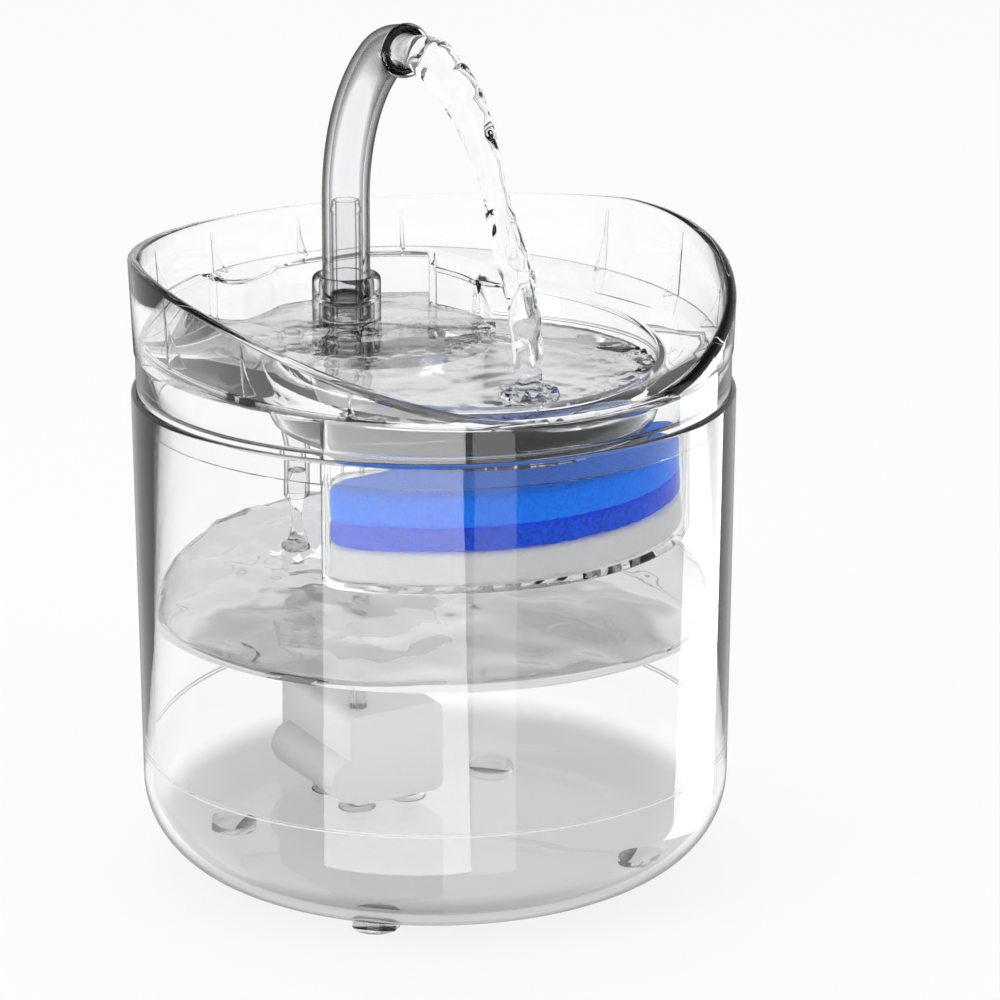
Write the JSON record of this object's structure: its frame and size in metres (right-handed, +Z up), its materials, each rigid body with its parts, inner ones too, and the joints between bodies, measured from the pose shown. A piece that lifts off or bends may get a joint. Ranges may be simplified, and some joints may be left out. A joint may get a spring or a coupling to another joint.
{
  "type": "pet water fountain",
  "caption": "Clear round pet water fountain: tank, scooped drinking tray with a gooseneck spout, foam filter basket under the tray and a submerged pump.",
  "frame": {"origin": "middle of the base, on the plane the feet stand on", "axes": "+Z up, -Y towards the front of the drinking tray, +X to the right when looking at the front"},
  "size_m": [0.1844, 0.184, 0.2588],
  "materials": {
    "clear_tank": "clear, polished moulding",
    "clear_tray": "clear, polished moulding",
    "clear_spout": "clear, polished moulding",
    "clear_riser": "clear tube",
    "clear_rubber": "soft translucent silicone",
    "clear_basket": "clear, polished moulding",
    "blue_foam": "open-cell filter foam",
    "deep_blue_foam": "denser open-cell filter foam",
    "white_fleece": "needle-felted filter fleece",
    "white_plastic": "satin moulding",
    "ferrite": "pressed plastic-bonded magnet",
    "lamination": "stacked electrical steel",
    "winding": "enamelled copper wire",
    "steel_shaft": "ground",
    "board_green": "lacquered circuit board"
  },
  "bodies": {
    "base": {"tank": "clear_tank", "clear_feet": "clear_rubber", "riser_pipe": "clear_riser", "outlet_sleeve": "clear_rubber", "pump_housing": "white_plastic", "pump_end_cap": "white_plastic", "intake_cover": "white_plastic", "cover_gasket": "clear_rubber", "rotor_shaft": "steel_shaft", "shaft_bush_front": "white_plastic", "shaft_bush_rear": "white_plastic", "stator_core": "lamination", "stator_coils": "winding", "driver_board": "board_green", "cable_gland": "clear_rubber", "suction_cups": "clear_rubber"},
    "tray": {"drinking_tray": "clear_tray"},
    "socket_ring": {"spout_seal": "clear_rubber"},
    "gooseneck": {"spout": "clear_spout"},
    "filter": {"filter_basket": "clear_basket", "filter_fleece": "white_fleece", "filter_foam_lower": "deep_blue_foam", "filter_foam_upper": "blue_foam"},
    "rotor": {"impeller": "white_plastic", "rotor_magnet": "ferrite"}
  },
  "joints": [
    {"name": "tray_lift", "type": "slide", "parent": "base", "child": "tray", "axis": [0, 0, 1], "range_m": [0, 0.065]},
    {"name": "spout_swivel", "type": "hinge", "parent": "tray", "child": "socket_ring", "pos_m": [0, 0.056, 0.16], "axis": [0, 0, 1], "range_deg": [-30, 30]},
    {"name": "spout_lift", "type": "slide", "parent": "socket_ring", "child": "gooseneck", "axis": [0, 0, 1], "range_m": [0, 0.045]},
    {"name": "basket_drop", "type": "slide", "parent": "tray", "child": "filter", "axis": [0, 0, -1], "range_m": [0, 0.03]},
    {"name": "impeller_spin", "type": "hinge", "parent": "base", "child": "rotor", "pos_m": [0, 0.05, 0.023], "axis": [0, 1, 0], "continuous": true}
  ]
}
